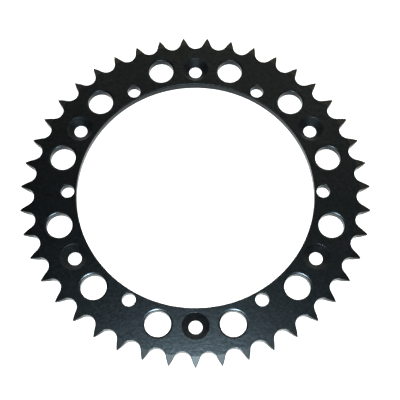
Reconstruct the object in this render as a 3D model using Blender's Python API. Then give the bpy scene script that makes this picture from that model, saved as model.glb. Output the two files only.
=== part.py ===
"""Rear sprocket: one flat steel ring for a 5/8 inch (520) motorcycle chain.

Units are metres. The origin is the bore's centre on the back face, which sits on the hub. +Z runs along
the axis to the front face, where the countersinks are, and +Y points at a tooth gap and at a countersunk
bolt hole. Angles round the ring are measured clockwise from +Y, as seen from the front.
"""

import math

import bmesh
import bpy
from mathutils import Matrix, Vector

MM = 0.001

# Chain and teeth
TEETH = 43
CHAIN_PITCH = 15.875 * MM
ROLLER_DIA = 10.16 * MM
SEAT_CLEARANCE = 0.66 * MM  # how much larger the seat's radius is than the roller's
SEAT_HALF_ANGLE = math.radians(68.0)  # from the bottom of a gap to where the flank begins
FLANK_RADIUS = 32.0 * MM
OUTSIDE_RADIUS = 112.9 * MM

# Plate, and the bevel that thins the teeth on both sides
THICKNESS = 5.9 * MM
BEVEL_START_RADIUS = 106.5 * MM
BEVEL_DEPTH = 1.9 * MM  # on each face, at the tooth tips
EDGE_BREAK = 0.5 * MM  # 45 degree chamfer on the bore and on the holes

# Bore and holes
BORE_DIA = 153.0 * MM
BOLT_HOLES = 6  # on each of the two bolt circles
BOLT_HOLE_DIA = 8.5 * MM
COUNTERSUNK_CIRCLE_DIA = 175.5 * MM
COUNTERSINK_DIA = 17.0 * MM
PLAIN_CIRCLE_DIA = 164.5 * MM
LIGHTENING_HOLES = 12
LIGHTENING_HOLE_DIA = 16.3 * MM
LIGHTENING_CIRCLE_DIA = 178.7 * MM

# Facets
SEAT_STEPS = 4
SEAT_END_STEPS = 1
FLANK_STEPS = 2
TIP_STEPS = 2
BORE_SIDES = 96
LIGHTENING_SIDES = 24
BOLT_SIDES = 24
SMOOTH_BELOW = math.radians(30.0)

# Finish: black, satin
BLACK = (0.024, 0.026, 0.029, 1.0)
ROUGHNESS = 0.42
METALLIC = 0.35

# Worked out from the above
HALF_PITCH_ANGLE = math.pi / TEETH
PITCH_RADIUS = CHAIN_PITCH / (2.0 * math.sin(HALF_PITCH_ANGLE))
ROOT_RADIUS = PITCH_RADIUS - ROLLER_DIA / 2.0
SEAT_RADIUS = ROLLER_DIA / 2.0 + SEAT_CLEARANCE
BEVEL_SLOPE = BEVEL_DEPTH / (OUTSIDE_RADIUS - BEVEL_START_RADIUS)


def heading(angle):
    """Unit vector in the plate, turned anticlockwise from +Y."""
    return Vector((-math.sin(angle), math.cos(angle)))


def arc(centre, radius, first, last, steps):
    """Points along an arc between two headings, without its first point."""
    turns = [first + (last - first) * step / steps for step in range(1, steps + 1)]
    return [centre + heading(turn) * radius for turn in turns]


def half_gap():
    """Half of a tooth gap, from its bottom on +Y to the middle of the tooth tip at its right.

    A concave seat holds the roller, a convex flank leaves it at a tangent, and a small round tip joins
    the flank to its mirror image. Returns the points and the index of the one where the bevel starts.
    """
    seat_centre = Vector((0.0, ROOT_RADIUS + SEAT_RADIUS))
    flank_centre = seat_centre - heading(SEAT_HALF_ANGLE) * (SEAT_RADIUS + FLANK_RADIUS)

    bevel_cosine = SEAT_RADIUS**2 + seat_centre.y**2 - BEVEL_START_RADIUS**2
    bevel_cosine /= 2.0 * SEAT_RADIUS * seat_centre.y
    bevel_angle = math.acos(bevel_cosine)

    # The tip's circle touches the outside circle and, from within, the flank's circle.
    tooth_middle = heading(-HALF_PITCH_ANGLE)
    along = flank_centre.dot(tooth_middle)
    tip_radius = FLANK_RADIUS**2 - flank_centre.length_squared
    tip_radius += OUTSIDE_RADIUS * (2.0 * along - OUTSIDE_RADIUS)
    tip_radius /= 2.0 * (along + FLANK_RADIUS - OUTSIDE_RADIUS)
    tip_centre = tooth_middle * (OUTSIDE_RADIUS - tip_radius)
    to_tip = tip_centre - flank_centre
    flank_end = math.atan2(-to_tip.x, to_tip.y)

    points = [seat_centre - heading(0.0) * SEAT_RADIUS]
    points += arc(seat_centre, -SEAT_RADIUS, 0.0, bevel_angle, SEAT_STEPS)
    bevel_index = len(points) - 1
    points += arc(seat_centre, -SEAT_RADIUS, bevel_angle, SEAT_HALF_ANGLE, SEAT_END_STEPS)
    points += arc(flank_centre, FLANK_RADIUS, SEAT_HALF_ANGLE, flank_end, FLANK_STEPS)
    points += arc(tip_centre, tip_radius, flank_end, -HALF_PITCH_ANGLE, TIP_STEPS)
    return points, bevel_index


def bevel_drop(point):
    """How far the bevel lies below the face at a point of the plate."""
    return max(0.0, point.length - BEVEL_START_RADIUS) * BEVEL_SLOPE


def add_teeth(bm):
    """Outer wall and bevelled teeth. Returns the edges that bound the flat part of each face."""
    points, bevel_index = half_gap()
    mirrored = [Vector((-point.x, point.y)) for point in points]
    rims = {"back": [], "front": []}

    def lift(outline, turn):
        """Turns an outline to its place and makes its vertices on both faces."""
        spun = Matrix.Rotation(-turn, 2)
        pairs = []
        for point in outline:
            place = spun @ point
            drop = bevel_drop(point)
            low = bm.verts.new((place.x, place.y, drop))
            high = bm.verts.new((place.x, place.y, THICKNESS - drop))
            pairs.append({"back": low, "front": high})
        return pairs

    rights = [lift(points, 2.0 * HALF_PITCH_ANGLE * gap) for gap in range(TEETH)]
    lefts = [lift(mirrored[1:-1], 2.0 * HALF_PITCH_ANGLE * gap) for gap in range(TEETH)]

    for gap in range(TEETH):
        right = rights[gap]
        following = (gap + 1) % TEETH
        # The next gap's left side shares its bottom and the tip with the right sides.
        left = [rights[following][0], *lefts[following], right[-1]]
        for side, flip in ((right, False), (left, True)):
            for inner, outer in zip(side, side[1:]):
                wall = [inner["back"], outer["back"], outer["front"], inner["front"]]
                bm.faces.new(reversed(wall) if flip else wall)
        for face in ("back", "front"):
            for index in range(bevel_index, len(right) - 2):
                corners = [right[index], left[index], left[index + 1], right[index + 1]]
                bm.faces.new([corner[face] for corner in corners])
            bm.faces.new([right[-2][face], left[-2][face], right[-1][face]])
            seat = [corner[face] for corner in right[: bevel_index + 1]]
            seat += [corner[face] for corner in reversed(left[: bevel_index + 1])]
            rims[face] += [bm.edges.get(pair) for pair in zip(seat, seat[1:])]
    return rims


def add_hole(bm, rims, centre, sides, profile):
    """Bridges a round hole's rings from the back face to the front. The profile is (radius, z) pairs."""
    rings = []
    for radius, z in profile:
        place = Matrix.Translation((centre.x, centre.y, z))
        made = bmesh.ops.create_circle(bm, segments=sides, radius=radius, matrix=place)
        rings.append(list({edge for vert in made["verts"] for edge in vert.link_edges}))
    for lower, upper in zip(rings, rings[1:]):
        bmesh.ops.bridge_loops(bm, edges=lower + upper)
    rims["back"] += rings[0]
    rims["front"] += rings[-1]


def straight_profile(diameter):
    """A cylindrical hole with its edges broken on both faces."""
    radius = diameter / 2.0
    return [
        (radius + EDGE_BREAK, 0.0),
        (radius, EDGE_BREAK),
        (radius, THICKNESS - EDGE_BREAK),
        (radius + EDGE_BREAK, THICKNESS),
    ]


def countersunk_profile():
    """A bolt hole with a 90 degree countersink from the front face."""
    radius = BOLT_HOLE_DIA / 2.0
    mouth = COUNTERSINK_DIA / 2.0
    return [
        (radius + EDGE_BREAK, 0.0),
        (radius, EDGE_BREAK),
        (radius, THICKNESS - (mouth - radius)),
        (mouth, THICKNESS),
    ]


def add_hole_circle(bm, rims, circle_dia, count, first, sides, profile):
    """Evenly spaced holes round a circle, the first of them at the given angle."""
    for number in range(count):
        angle = first + 2.0 * math.pi * number / count
        centre = heading(-angle) * (circle_dia / 2.0)
        add_hole(bm, rims, centre, sides, profile)


def ring_mesh():
    """The whole sprocket as one closed mesh."""
    bm = bmesh.new()
    rims = add_teeth(bm)
    bolt_step = math.pi / BOLT_HOLES
    lightening_step = math.pi / LIGHTENING_HOLES
    straight_bolt = straight_profile(BOLT_HOLE_DIA)
    lightening = straight_profile(LIGHTENING_HOLE_DIA)

    add_hole(bm, rims, Vector((0.0, 0.0)), BORE_SIDES, straight_profile(BORE_DIA))
    add_hole_circle(bm, rims, COUNTERSUNK_CIRCLE_DIA, BOLT_HOLES, 0.0, BOLT_SIDES, countersunk_profile())
    add_hole_circle(bm, rims, PLAIN_CIRCLE_DIA, BOLT_HOLES, bolt_step, BOLT_SIDES, straight_bolt)
    add_hole_circle(
        bm, rims, LIGHTENING_CIRCLE_DIA, LIGHTENING_HOLES, lightening_step, LIGHTENING_SIDES, lightening
    )
    for face, out in (("back", -1.0), ("front", 1.0)):
        bmesh.ops.triangle_fill(bm, edges=rims[face], use_beauty=True, normal=(0.0, 0.0, out))
    bmesh.ops.recalc_face_normals(bm, faces=bm.faces)

    mesh = bpy.data.meshes.new("sprocket_ring")
    bm.to_mesh(mesh)
    bm.free()
    mesh.shade_smooth()
    mesh.set_sharp_from_angle(angle=SMOOTH_BELOW)
    return mesh


def black_steel():
    """Black satin finish on steel."""
    material = bpy.data.materials.new("black_steel")
    material.use_nodes = True
    shader = material.node_tree.nodes["Principled BSDF"]
    shader.inputs["Base Color"].default_value = BLACK
    shader.inputs["Roughness"].default_value = ROUGHNESS
    shader.inputs["Metallic"].default_value = METALLIC
    return material


def main():
    for leftover in list(bpy.data.objects):
        bpy.data.objects.remove(leftover, do_unlink=True)
    mesh = ring_mesh()
    mesh.materials.append(black_steel())
    ring = bpy.data.objects.new("sprocket_ring", mesh)
    bpy.context.scene.collection.objects.link(ring)


main()
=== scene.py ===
"""Looks of the rear sprocket: its fine surface, black finish, floor, lights and camera."""

import math

import bmesh
import bpy
from mathutils import Matrix, Vector


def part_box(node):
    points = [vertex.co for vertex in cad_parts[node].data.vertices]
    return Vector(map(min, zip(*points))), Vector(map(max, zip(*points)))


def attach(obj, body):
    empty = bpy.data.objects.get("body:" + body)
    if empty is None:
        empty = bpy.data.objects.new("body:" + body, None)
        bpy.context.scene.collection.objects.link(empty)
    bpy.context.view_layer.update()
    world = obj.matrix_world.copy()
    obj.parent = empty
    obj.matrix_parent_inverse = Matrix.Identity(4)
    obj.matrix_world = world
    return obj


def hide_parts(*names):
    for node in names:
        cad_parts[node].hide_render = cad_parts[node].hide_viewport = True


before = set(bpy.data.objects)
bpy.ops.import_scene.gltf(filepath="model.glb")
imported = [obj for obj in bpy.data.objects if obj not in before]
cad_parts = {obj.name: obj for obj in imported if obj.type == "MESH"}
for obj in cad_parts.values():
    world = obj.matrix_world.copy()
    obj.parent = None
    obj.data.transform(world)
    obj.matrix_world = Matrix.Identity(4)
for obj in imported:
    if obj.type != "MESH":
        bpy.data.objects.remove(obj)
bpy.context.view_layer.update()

MM = 0.001

# ---------------------------------------------------------------- sizes, as in the CAD model
TEETH = 43
CHAIN_PITCH = 15.875 * MM
ROLLER_DIA = 10.16 * MM
SEAT_CLEARANCE = 0.66 * MM
SEAT_HALF_ANGLE = math.radians(68.0)
FLANK_RADIUS = 32.0 * MM
OUTSIDE_RADIUS = 112.9 * MM
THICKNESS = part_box("sprocket_ring")[1].z
BEVEL_START_RADIUS = 106.5 * MM
BEVEL_DEPTH = 1.9 * MM
BORE_DIA = 153.0 * MM
BOLT_HOLES = 6
BOLT_HOLE_DIA = 8.5 * MM
COUNTERSUNK_CIRCLE_DIA = 175.5 * MM
COUNTERSINK_DIA = 17.0 * MM
PLAIN_CIRCLE_DIA = 164.5 * MM
LIGHTENING_HOLES = 12
LIGHTENING_HOLE_DIA = 16.3 * MM
LIGHTENING_CIRCLE_DIA = 178.7 * MM
EDGE_BREAK = 0.5 * MM

# ---------------------------------------------------------------- fine edges
TOOTH_EDGE_RADIUS = 0.2 * MM
TOOTH_EDGE_STEPS = 4
CHAMFER_ROUND = 0.06 * MM
CORNER_NEAR = 0.2  # where a rounded chamfer corner's first and second rows lie, in CHAMFER_ROUND
CORNER_FAR = 0.7
WALL_SUPPORT = 6.0  # how far down the wall a chamfer's last row lies, in CHAMFER_ROUND
SOFT_EDGE_WIDTH = 1.0 * MM  # the lightening holes' edges are rubbed down: wide and shallow
SOFT_EDGE_CHAMFER = 0.35 * MM
SOFT_EDGE_STEEPEST = math.radians(20.0)
SOFT_EDGE_STEPS = 10
SOFT_EDGE_WEAR = 0.4  # how worn the shallow arc is at its steepest
SOFT_CHAMFER_WEAR = 0.6
WALL_CORNER_WEAR = 0.3
CREASE_HALF_WIDTH = 0.02 * MM
SEAT_STEPS = 20
SEAT_END_STEPS = 8
FLANK_STEPS = 12
TIP_STEPS = 6
TOOTH_COLUMNS = 4
BORE_SIDES = 360
LIGHTENING_SIDES = 72
BOLT_SIDES = 64

HALF_PITCH_ANGLE = math.pi / TEETH
PITCH_RADIUS = CHAIN_PITCH / (2.0 * math.sin(HALF_PITCH_ANGLE))
ROOT_RADIUS = PITCH_RADIUS - ROLLER_DIA / 2.0
SEAT_RADIUS = ROLLER_DIA / 2.0 + SEAT_CLEARANCE
SEAT_CENTRE = ROOT_RADIUS + SEAT_RADIUS
BEVEL_SLOPE = BEVEL_DEPTH / (OUTSIDE_RADIUS - BEVEL_START_RADIUS)
UP = {"back": -1.0, "front": 1.0}


def heading(angle):
    """Unit vector in the plate, turned anticlockwise from +Y."""
    return Vector((-math.sin(angle), math.cos(angle)))


def arc(centre, radius, first, last, steps):
    """(point, way out of the metal) pairs along an arc between two headings, without the first."""
    turns = [first + (last - first) * step / steps for step in range(1, steps + 1)]
    return [(centre + heading(turn) * radius, heading(turn)) for turn in turns]


def seat_angle(reach, radius):
    """Where a seat of the given radius crosses a circle about the axis."""
    cosine = radius**2 + SEAT_CENTRE**2 - reach**2
    return math.acos(cosine / (2.0 * radius * SEAT_CENTRE))


def half_gap(inset):
    """Half of a tooth gap from its bottom to the tooth's middle, moved into the metal by the inset."""
    seat_centre = Vector((0.0, SEAT_CENTRE))
    flank_centre = seat_centre - heading(SEAT_HALF_ANGLE) * (SEAT_RADIUS + FLANK_RADIUS)
    tooth_middle = heading(-HALF_PITCH_ANGLE)
    along = flank_centre.dot(tooth_middle)
    tip_radius = FLANK_RADIUS**2 - flank_centre.length_squared
    tip_radius += OUTSIDE_RADIUS * (2.0 * along - OUTSIDE_RADIUS)
    tip_radius /= 2.0 * (along + FLANK_RADIUS - OUTSIDE_RADIUS)
    tip_centre = tooth_middle * (OUTSIDE_RADIUS - tip_radius)
    to_tip = tip_centre - flank_centre
    flank_end = math.atan2(-to_tip.x, to_tip.y)

    seat = SEAT_RADIUS + inset
    before = seat_angle(BEVEL_START_RADIUS - CREASE_HALF_WIDTH, seat)
    after = seat_angle(BEVEL_START_RADIUS + CREASE_HALF_WIDTH, seat)
    points = [(seat_centre - heading(0.0) * seat, heading(0.0))]
    points += arc(seat_centre, -seat, 0.0, before, SEAT_STEPS)
    points += arc(seat_centre, -seat, before, after, 1)
    points += arc(seat_centre, -seat, after, SEAT_HALF_ANGLE, SEAT_END_STEPS)
    points += arc(flank_centre, FLANK_RADIUS - inset, SEAT_HALF_ANGLE, flank_end, FLANK_STEPS)
    points += arc(tip_centre, tip_radius - inset, flank_end, -HALF_PITCH_ANGLE, TIP_STEPS)
    return points


def bevel_drop(radius):
    """How far the bevel lies below the face."""
    return max(0.0, radius - BEVEL_START_RADIUS) * BEVEL_SLOPE


def face_normal(face, place):
    """Normal of the flat face, or of the bevel outside it."""
    lean = BEVEL_SLOPE if place.length > BEVEL_START_RADIUS else 0.0
    tilt = place.normalized() * lean
    return Vector((tilt.x, tilt.y, UP[face])).normalized()


def rounded_edge(radius, steps):
    """Rows of a rounded edge, from the face to the wall: inset, sink, turn of the normal, wear."""
    rows = []
    for step in range(steps + 1):
        turn = math.pi / 2.0 * step / steps
        wear = math.sin(2.0 * turn)
        rows.append((radius * (1.0 - math.sin(turn)), radius * (1.0 - math.cos(turn)), turn, wear))
    return rows


def rubbed_edge(width, steepest, reach):
    """Rows of an edge rubbed down to a shallow arc, with a narrow chamfer between it and the wall."""
    radius = width / math.sin(steepest)
    soft = CHAMFER_ROUND
    rows = []
    for step in range(SOFT_EDGE_STEPS + 1):
        turn = steepest * step / SOFT_EDGE_STEPS
        inset = width - radius * math.sin(turn) + reach
        rows.append((inset, radius * (1.0 - math.cos(turn)), turn, SOFT_EDGE_WEAR * turn / steepest))
    depth = rows[-1][1]
    rows.append((reach - soft, depth + soft, math.pi / 4.0, SOFT_CHAMFER_WEAR))
    rows.append((soft, depth + reach - soft, math.pi / 4.0, SOFT_CHAMFER_WEAR))
    rows.append((0.0, depth + reach + soft, math.pi / 2.0, WALL_CORNER_WEAR))
    return rows


def chamfered_edge(reach):
    """Rows of a 45 degree chamfer with its two corners just rounded."""
    soft = CHAMFER_ROUND
    near = CORNER_NEAR * soft
    far = CORNER_FAR * soft
    turn = math.pi / 8.0
    return [
        (reach + soft, 0.0, 0.0, 0.0),
        (reach + near, near, turn, 1.0),
        (reach - far, far, 2.0 * turn, 0.8),
        (far, reach - far, 2.0 * turn, 0.6),
        (near, reach - near, 3.0 * turn, 0.8),
        (0.0, reach + soft, 4.0 * turn, WALL_CORNER_WEAR),
        (0.0, reach + WALL_SUPPORT * soft, 4.0 * turn, 0.0),
    ]


class RingBuilder:
    """Collects the fine mesh, with each vertex's true normal and how worn it is."""

    def __init__(self):
        self.bm = bmesh.new()
        self.wear = self.bm.verts.layers.float.new("wear")
        self.aim = self.bm.verts.layers.float_vector.new("aim")
        self.rims = {"back": [], "front": []}

    def vert(self, face, place, sink, turn=0.0, outward=None, wear=0.0):
        """A vertex at a depth below a face, its normal turned from the face's towards the way out."""
        up = UP[face]
        made = self.bm.verts.new((place.x, place.y, THICKNESS - sink if up > 0.0 else sink))
        normal = face_normal(face, place)
        if outward is not None:
            normal = normal * math.cos(turn) + outward.to_3d() * math.sin(turn)
        made[self.aim] = normal.normalized()
        made[self.wear] = wear
        return made

    def loft(self, levels):
        """Joins closed loops of vertices, from the back face to the front one."""
        for lower, upper in zip(levels, levels[1:]):
            for here in range(len(lower)):
                after = (here + 1) % len(lower)
                self.bm.faces.new((lower[here], lower[after], upper[after], upper[here]))

    def rim(self, face, loop):
        """Remembers a closed loop as an edge of a flat face."""
        for pair in zip(loop, [*loop[1:], loop[0]]):
            self.rims[face].append(self.bm.edges.get(pair) or self.bm.edges.new(pair))

    def hole(self, centre, radius, sides, edges):
        """A round hole with its own edge on each face."""
        levels = {}
        for face, rows in edges.items():
            levels[face] = []
            for inset, sink, turn, wear in rows:
                loop = []
                for side in range(sides):
                    way = heading(2.0 * math.pi * side / sides)
                    spot = centre + way * (radius + inset)
                    loop.append(self.vert(face, spot, sink, turn, -way, wear))
                levels[face].append(loop)
            self.rim(face, levels[face][0])
        self.loft([*levels["back"], *reversed(levels["front"])])

    def hole_circle(self, circle_dia, count, first, radius, sides, edges):
        """Evenly spaced holes round a circle, the first of them at the given angle."""
        for number in range(count):
            angle = first + 2.0 * math.pi * number / count
            self.hole(heading(-angle) * (circle_dia / 2.0), radius, sides, edges)

    def teeth(self, rows):
        """The toothed outside: rounded edges, wall, and bevelled teeth on both faces."""
        levels = {"back": [], "front": []}
        for inset, sink, turn, wear in rows:
            half = half_gap(inset)
            mirrored = []
            for point, out in reversed(half[1:-1]):
                mirrored.append((Vector((-point.x, point.y)), Vector((-out.x, out.y))))
            for face, made in levels.items():
                loop = []
                for gap in range(TEETH):
                    spin = Matrix.Rotation(-2.0 * HALF_PITCH_ANGLE * gap, 2)
                    for point, outward in [*mirrored, *half]:
                        depth = bevel_drop(point.length) + sink
                        loop.append(self.vert(face, spin @ point, depth, turn, spin @ outward, wear))
                made.append(loop)
        self.loft([*levels["back"], *reversed(levels["front"])])
        for face, made in levels.items():
            self.tooth_faces(face, made[0])

    def tooth_faces(self, face, outline):
        """Bevelled tooth faces, and the edge of the flat part inside them."""
        per_gap = len(outline) // TEETH
        half_count = per_gap // 2 + 1
        bottom = half_count - 2
        start = SEAT_STEPS
        flat_edge = []
        for gap in range(TEETH):
            right = [outline[gap * per_gap + bottom + index] for index in range(half_count)]
            following = ((gap + 1) % TEETH) * per_gap + bottom
            left = [outline[following - index] for index in range(half_count - 1)]
            rungs = []
            for index in range(start, half_count - 1):
                rungs.append(self.rung(face, right[index], left[index]))
            for inner, outer in zip(rungs, rungs[1:]):
                for column in range(TOOTH_COLUMNS):
                    after = column + 1
                    self.bm.faces.new((inner[column], inner[after], outer[after], outer[column]))
            for column in range(TOOTH_COLUMNS):
                self.bm.faces.new((rungs[-1][column], rungs[-1][column + 1], right[-1]))
            flat_edge += right[:start]
            flat_edge += rungs[0]
            flat_edge += reversed(left[1:start])
        self.rim(face, flat_edge)

    def rung(self, face, right, left):
        """Vertices across a tooth, all as far from the axis as its two ends."""
        reach = right.co.xy.length
        row = [right]
        for column in range(1, TOOTH_COLUMNS):
            spot = right.co.xy.lerp(left.co.xy, column / TOOTH_COLUMNS).normalized() * reach
            row.append(self.vert(face, spot, bevel_drop(reach)))
        row.append(left)
        return row

    def finish(self, name):
        """Fills the flat faces and returns the mesh."""
        for face, up in UP.items():
            rim = self.rims[face]
            bmesh.ops.triangle_fill(self.bm, edges=rim, use_beauty=True, normal=(0.0, 0.0, up))
        bmesh.ops.recalc_face_normals(self.bm, faces=self.bm.faces)
        normals = [tuple(vert[self.aim]) for vert in self.bm.verts]
        mesh = bpy.data.meshes.new(name)
        self.bm.to_mesh(mesh)
        self.bm.free()
        mesh.shade_smooth()
        mesh.normals_split_custom_set_from_vertices(normals)
        return mesh


def fine_ring():
    """The sprocket with rounded tooth edges and softened chamfers."""
    ring = RingBuilder()
    bolt_radius = BOLT_HOLE_DIA / 2.0
    broken = chamfered_edge(EDGE_BREAK)
    plain = {"back": broken, "front": broken}
    soft = rubbed_edge(SOFT_EDGE_WIDTH, SOFT_EDGE_STEEPEST, SOFT_EDGE_CHAMFER)
    sunk = {"back": broken, "front": chamfered_edge((COUNTERSINK_DIA - BOLT_HOLE_DIA) / 2.0)}
    ring.teeth(rounded_edge(TOOTH_EDGE_RADIUS, TOOTH_EDGE_STEPS))
    ring.hole(Vector((0.0, 0.0)), BORE_DIA / 2.0, BORE_SIDES, plain)
    ring.hole_circle(COUNTERSUNK_CIRCLE_DIA, BOLT_HOLES, 0.0, bolt_radius, BOLT_SIDES, sunk)
    ring.hole_circle(PLAIN_CIRCLE_DIA, BOLT_HOLES, math.pi / BOLT_HOLES, bolt_radius, BOLT_SIDES, plain)
    ring.hole_circle(
        LIGHTENING_CIRCLE_DIA,
        LIGHTENING_HOLES,
        math.pi / LIGHTENING_HOLES,
        LIGHTENING_HOLE_DIA / 2.0,
        LIGHTENING_SIDES,
        {"back": soft, "front": soft},
    )
    return ring.finish("sprocket_surface")


# ---------------------------------------------------------------- materials
FILM_DARK = (0.0122, 0.0148, 0.0157, 1.0)  # the black film on the ground faces, where it is thick
FILM_LIGHT = (0.0236, 0.0272, 0.0297, 1.0)  # and where it is thin
MILLED = (0.0163, 0.0175, 0.0169, 1.0)  # on the milled bevels
WORN = (0.07, 0.072, 0.074, 1.0)  # on edges
BLACK = (0.0, 0.0, 0.0, 1.0)
METALLIC = 0.96
GRAZING_TINT = (0.71, 0.71, 0.71, 1.0)  # keeps the walls dark where they are seen at a grazing angle
CREASE_BLUR_MM = 0.1
CONE_DARKER = 0.5
WEAR_LIGHTER = 0.25
GROUND_ROUGHNESS = 0.243
MILLED_ROUGHER = 0.107
CONE_ROUGHER = 0.26
WEAR_ROUGHER = 0.05
DENT_DEPTH = 0.032 * MM
STREAK_DEPTH = 0.018 * MM
MARK_DEPTH = 0.003 * MM
FAINT = 0.3  # strength of the finest bumps
FLOOR_TONES = ((0.94, 0.81, 0.73, 1.0), (0.95, 0.83, 0.75, 1.0))
FLOOR_ROUGHNESS = 0.9
FLOOR_SPECULAR = 0.1


class Nodes:
    """Short calls for building a node tree."""

    def __init__(self, name):
        self.material = bpy.data.materials.new(name)
        self.material.use_nodes = True
        self.tree = self.material.node_tree
        self.shader = self.tree.nodes["Principled BSDF"]

    def add(self, kind, **settings):
        node = self.tree.nodes.new(kind)
        for key, value in settings.items():
            setattr(node, key, value)
        return node

    def link(self, source, target):
        self.tree.links.new(source, target)

    def math(self, operation, first, second=None):
        node = self.add("ShaderNodeMath", operation=operation)
        for socket, value in zip(node.inputs, (first, second)):
            if value is None:
                continue
            if isinstance(value, (int, float)):
                socket.default_value = value
            else:
                self.link(value, socket)
        return node.outputs[0]

    def noise(self, vector, scale, detail=3.0, roughness=0.5, distortion=0.0):
        node = self.add("ShaderNodeTexNoise")
        self.link(vector, node.inputs["Vector"])
        node.inputs["Scale"].default_value = scale
        node.inputs["Detail"].default_value = detail
        node.inputs["Roughness"].default_value = roughness
        node.inputs["Distortion"].default_value = distortion
        return node.outputs["Fac"]

    def ramp(self, factor, low, high, to_low, to_high):
        node = self.add("ShaderNodeMapRange", clamp=True)
        self.link(factor, node.inputs["Value"])
        limits = {"From Min": low, "From Max": high, "To Min": to_low, "To Max": to_high}
        for key, value in limits.items():
            node.inputs[key].default_value = value
        return node.outputs["Result"]

    def mix(self, factor, first, second):
        node = self.add("ShaderNodeMix", data_type="RGBA")
        self.link(factor, node.inputs["Factor"])
        for socket, value in ((node.inputs[6], first), (node.inputs[7], second)):
            if isinstance(value, tuple):
                socket.default_value = value
            else:
                self.link(value, socket)
        return node.outputs[2]

    def bump(self, height, strength, distance, normal=None):
        node = self.add("ShaderNodeBump")
        self.link(height, node.inputs["Height"])
        node.inputs["Strength"].default_value = strength
        node.inputs["Distance"].default_value = distance
        if normal is not None:
            self.link(normal, node.inputs["Normal"])
        return node.outputs["Normal"]


def black_steel():
    """Thin satin black finish over ground and turned steel."""
    nodes = Nodes("black_steel_finish")
    place = nodes.add("ShaderNodeTexCoord").outputs["Object"]
    in_mm = nodes.add("ShaderNodeVectorMath", operation="SCALE")
    nodes.link(place, in_mm.inputs[0])
    in_mm.inputs["Scale"].default_value = 1.0 / MM
    spot = in_mm.outputs[0]
    axes = nodes.add("ShaderNodeSeparateXYZ")
    nodes.link(spot, axes.inputs[0])
    x, y = axes.outputs[:2]
    squares = nodes.math("ADD", nodes.math("MULTIPLY", x, x), nodes.math("MULTIPLY", y, y))
    radius = nodes.math("SQRT", squares)

    # Along the turning marks the pattern hardly changes; across them it does.
    across = nodes.math("DIVIDE", x, radius)
    along = nodes.math("DIVIDE", y, radius)

    def turned(per_mm, round_count):
        joined = nodes.add("ShaderNodeCombineXYZ")
        nodes.link(nodes.math("MULTIPLY", radius, per_mm), joined.inputs[0])
        nodes.link(nodes.math("MULTIPLY", across, round_count), joined.inputs[1])
        nodes.link(nodes.math("MULTIPLY", along, round_count), joined.inputs[2])
        return joined.outputs[0]

    marks = nodes.noise(turned(2.6, 9.0), 1.0, detail=4.0, roughness=0.6)
    streaks = nodes.noise(turned(0.8, 24.0), 1.0, detail=4.0, roughness=0.6)
    grain = nodes.noise(spot, 2.2, detail=4.0, roughness=0.6)
    mottle = nodes.noise(spot, 0.42, detail=5.0, roughness=0.62, distortion=0.6)
    cloud = nodes.noise(spot, 0.035, detail=3.0, roughness=0.55)
    dents = nodes.noise(spot, 0.55, detail=1.0)

    wear_node = nodes.add("ShaderNodeAttribute", attribute_name="wear")
    wear = nodes.math("MULTIPLY", wear_node.outputs["Fac"], nodes.ramp(mottle, 0.35, 0.65, 0.25, 1.0))
    crease = BEVEL_START_RADIUS / MM
    milled = nodes.ramp(radius, crease - CREASE_BLUR_MM, crease + CREASE_BLUR_MM, 0.0, 1.0)
    facing = nodes.add("ShaderNodeSeparateXYZ")
    nodes.link(nodes.add("ShaderNodeTexCoord").outputs["Normal"], facing.inputs[0])
    upright = nodes.math("ABSOLUTE", facing.outputs[2])
    cone = nodes.ramp(upright, 0.75, 0.93, 1.0, 0.0)
    wall = nodes.ramp(upright, 0.2, 0.6, 1.0, 0.0)

    patch = nodes.math("ADD", nodes.math("MULTIPLY", streaks, 0.5), nodes.math("MULTIPLY", dents, 0.5))
    film = nodes.mix(nodes.ramp(patch, 0.38, 0.62, 0.0, 1.0), FILM_DARK, FILM_LIGHT)
    film = nodes.mix(nodes.ramp(cloud, 0.35, 0.65, 0.0, 0.6), film, FILM_DARK)
    film = nodes.mix(milled, film, MILLED)
    film = nodes.mix(nodes.math("MULTIPLY", cone, CONE_DARKER), film, BLACK)
    worn = nodes.mix(nodes.math("MULTIPLY", wear, WEAR_LIGHTER), film, WORN)
    nodes.link(worn, nodes.shader.inputs["Base Color"])

    rough = nodes.ramp(mottle, 0.25, 0.75, -0.015, 0.015)
    rough = nodes.math("ADD", rough, nodes.ramp(cloud, 0.3, 0.7, -0.008, 0.008))
    rough = nodes.math("ADD", rough, nodes.ramp(grain, 0.2, 0.8, -0.01, 0.01))
    rough = nodes.math("ADD", rough, GROUND_ROUGHNESS)
    rough = nodes.math("ADD", rough, nodes.math("MULTIPLY", milled, MILLED_ROUGHER))
    cone_only = nodes.math("SUBTRACT", cone, wall)
    rough = nodes.math("ADD", rough, nodes.math("MULTIPLY", cone_only, CONE_ROUGHER))
    rough = nodes.math("ADD", rough, nodes.math("MULTIPLY", wear, WEAR_ROUGHER))
    nodes.link(rough, nodes.shader.inputs["Roughness"])

    normal = nodes.bump(dents, 1.0, DENT_DEPTH)
    normal = nodes.bump(streaks, 1.0, STREAK_DEPTH, normal)
    normal = nodes.bump(marks, FAINT, MARK_DEPTH, normal)
    normal = nodes.bump(grain, FAINT, MARK_DEPTH, normal)
    nodes.link(normal, nodes.shader.inputs["Normal"])

    nodes.shader.inputs["Metallic"].default_value = METALLIC
    nodes.shader.inputs["Specular Tint"].default_value = GRAZING_TINT
    return nodes.material


def pale_floor():
    """A matt, nearly even surface under the ring."""
    nodes = Nodes("pale_floor")
    place = nodes.add("ShaderNodeTexCoord").outputs["Object"]
    shade = nodes.noise(place, 3.0, detail=2.0)
    tone = nodes.mix(shade, *FLOOR_TONES)
    nodes.link(tone, nodes.shader.inputs["Base Color"])
    nodes.shader.inputs["Roughness"].default_value = FLOOR_ROUGHNESS
    nodes.shader.inputs["Specular IOR Level"].default_value = FLOOR_SPECULAR
    return nodes.material


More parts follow.
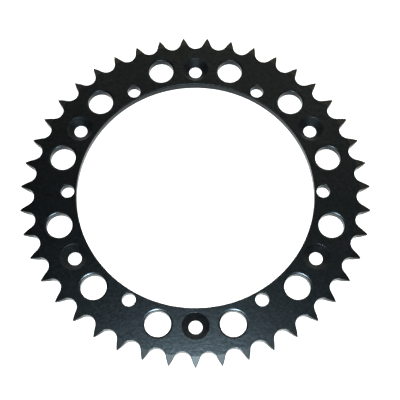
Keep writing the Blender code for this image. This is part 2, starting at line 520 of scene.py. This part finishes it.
# ---------------------------------------------------------------- the object
surface = fine_ring()
surface.materials.append(black_steel())
ring_piece = bpy.data.objects.new("sprocket_surface", surface)
bpy.context.scene.collection.objects.link(ring_piece)
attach(ring_piece, "root")
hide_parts("sprocket_ring")


# ---------------------------------------------------------------- floor, lights and camera
KEY_PLACE = (0.005, -0.22, 0.6)
KEY_AIM = (0.005, -0.22, 0.0)
KEY_WIDTH = 0.04
KEY_LENGTH = 0.29
KEY_POWER = 11.5
KEY_COLOUR = (0.82, 1.0, 1.12)
LIGHT_SIDE = (0.33, 1.0, 0.0)  # the way to the room's light side
ROOM_COLOUR = (1.10, 1.0, 0.83, 1.0)
ROOM_LIMITS = {"From Min": 0.25, "From Max": 0.71, "To Min": 0.01, "To Max": 1.5}
FLOOR_REACH = 6.0


def add_floor():
    """A square under the ring, in the plane of its back face."""
    reach = FLOOR_REACH
    mesh = bpy.data.meshes.new("floor")
    corners = [(-reach, -reach, 0.0), (reach, -reach, 0.0), (reach, reach, 0.0), (-reach, reach, 0.0)]
    mesh.from_pydata(corners, [], [(0, 1, 2, 3)])
    mesh.materials.append(pale_floor())
    floor = bpy.data.objects.new("floor", mesh)
    bpy.context.scene.collection.objects.link(floor)


def add_softbox(name, place, aim, width, length, power, colour):
    """A rectangular area light at a place, facing a point. Facing down, its length runs along Y."""
    lamp = bpy.data.lights.new(name, "AREA")
    lamp.shape = "RECTANGLE"
    lamp.size = width
    lamp.size_y = length
    lamp.energy = power
    lamp.color = colour
    holder = bpy.data.objects.new(name, lamp)
    holder.location = place
    holder.rotation_mode = "QUATERNION"
    holder.rotation_quaternion = (Vector(aim) - Vector(place)).to_track_quat("-Z", "Y")
    bpy.context.scene.collection.objects.link(holder)


def add_world():
    """A room dark overhead, below and on the near side, and light low down behind the ring."""
    world = bpy.data.worlds.new("studio")
    world.use_nodes = True
    tree = world.node_tree
    background = tree.nodes["Background"]
    place = tree.nodes.new("ShaderNodeTexCoord")
    lean = tree.nodes.new("ShaderNodeVectorMath")
    lean.operation = "DOT_PRODUCT"
    lean.inputs[1].default_value = LIGHT_SIDE
    ramp = tree.nodes.new("ShaderNodeMapRange")
    ramp.interpolation_type = "SMOOTHSTEP"
    for key, value in ROOM_LIMITS.items():
        ramp.inputs[key].default_value = value
    tree.links.new(place.outputs["Generated"], lean.inputs[0])
    tree.links.new(lean.outputs["Value"], ramp.inputs["Value"])
    tree.links.new(ramp.outputs["Result"], background.inputs["Strength"])
    background.inputs["Color"].default_value = ROOM_COLOUR
    bpy.context.scene.world = world


def add_camera():
    """Looks down on the ring from the south, 20 degrees off its axis."""
    elevation = math.radians(70.05)
    azimuth = math.radians(0.93)
    roll = math.radians(0.86)
    distance = 0.5817
    target = Vector((0.0029, -0.0040, 0.0))
    back = Vector(
        (
            -math.sin(azimuth) * math.cos(elevation),
            -math.cos(azimuth) * math.cos(elevation),
            math.sin(elevation),
        )
    )
    camera = bpy.data.cameras.new("camera")
    camera.lens = 80.88
    camera.sensor_width = 36.0
    holder = bpy.data.objects.new("camera", camera)
    holder.location = target + back * distance
    facing = (-back).to_track_quat("-Z", "Y").to_matrix() @ Matrix.Rotation(roll, 3, "Z")
    holder.rotation_mode = "QUATERNION"
    holder.rotation_quaternion = facing.to_quaternion()
    bpy.context.scene.collection.objects.link(holder)
    bpy.context.scene.camera = holder


add_floor()
add_softbox("key", KEY_PLACE, KEY_AIM, KEY_WIDTH, KEY_LENGTH, KEY_POWER, KEY_COLOUR)
add_world()
add_camera()
bpy.context.scene.view_settings.view_transform = "Standard"
